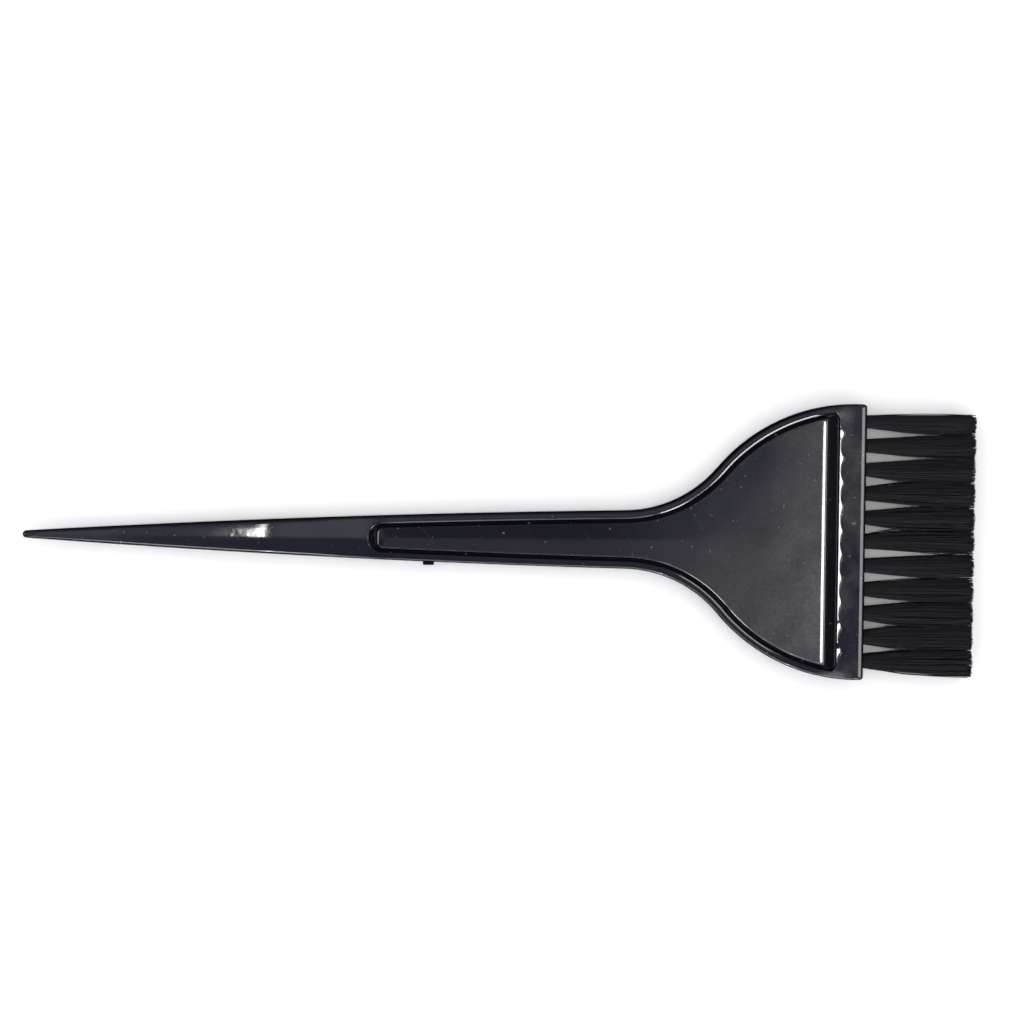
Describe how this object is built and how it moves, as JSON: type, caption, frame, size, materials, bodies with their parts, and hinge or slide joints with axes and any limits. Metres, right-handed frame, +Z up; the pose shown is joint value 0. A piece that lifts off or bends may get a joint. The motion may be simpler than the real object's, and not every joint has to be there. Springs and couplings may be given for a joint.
{
  "type": "tint brush",
  "caption": "Flat brush for hair colour: one-piece moulded handle with a pointed tail, a flared head and folded nylon tufts along its straight front edge.",
  "frame": {"origin": "middle of the brush in plan, level with the underside of the tuft block", "axes": "+X from the tail to the bristle tips, +Y across the head, +Z up from the face that the brush lies on"},
  "size_m": [0.215, 0.0622, 0.009],
  "materials": {
    "handle_plastic": "glossy black injection moulding with fine handling scratches",
    "bristle_nylon": "black nylon filament with a soft sheen along the strands",
    "anchor_metal": "flat rolled wire, cut ends bare"
  },
  "bodies": {
    "root": {"handle": "handle_plastic", "tuft_front_01": "bristle_nylon", "tuft_front_02": "bristle_nylon", "tuft_front_03": "bristle_nylon", "tuft_front_04": "bristle_nylon", "tuft_front_05": "bristle_nylon", "tuft_front_06": "bristle_nylon", "tuft_front_07": "bristle_nylon", "tuft_front_08": "bristle_nylon", "tuft_front_09": "bristle_nylon", "tuft_front_10": "bristle_nylon", "tuft_front_11": "bristle_nylon", "tuft_back_01": "bristle_nylon", "tuft_back_02": "bristle_nylon", "tuft_back_03": "bristle_nylon", "tuft_back_04": "bristle_nylon", "tuft_back_05": "bristle_nylon", "tuft_back_06": "bristle_nylon", "tuft_back_07": "bristle_nylon", "tuft_back_08": "bristle_nylon", "tuft_back_09": "bristle_nylon", "tuft_back_10": "bristle_nylon", "tuft_back_11": "bristle_nylon", "anchor_front_01": "anchor_metal", "anchor_front_02": "anchor_metal", "anchor_front_03": "anchor_metal", "anchor_front_04": "anchor_metal", "anchor_front_05": "anchor_metal", "anchor_front_06": "anchor_metal", "anchor_front_07": "anchor_metal", "anchor_front_08": "anchor_metal", "anchor_front_09": "anchor_metal", "anchor_front_10": "anchor_metal", "anchor_front_11": "anchor_metal", "anchor_back_01": "anchor_metal", "anchor_back_02": "anchor_metal", "anchor_back_03": "anchor_metal", "anchor_back_04": "anchor_metal", "anchor_back_05": "anchor_metal", "anchor_back_06": "anchor_metal", "anchor_back_07": "anchor_metal", "anchor_back_08": "anchor_metal", "anchor_back_09": "anchor_metal", "anchor_back_10": "anchor_metal", "anchor_back_11": "anchor_metal"}
  },
  "joints": []
}
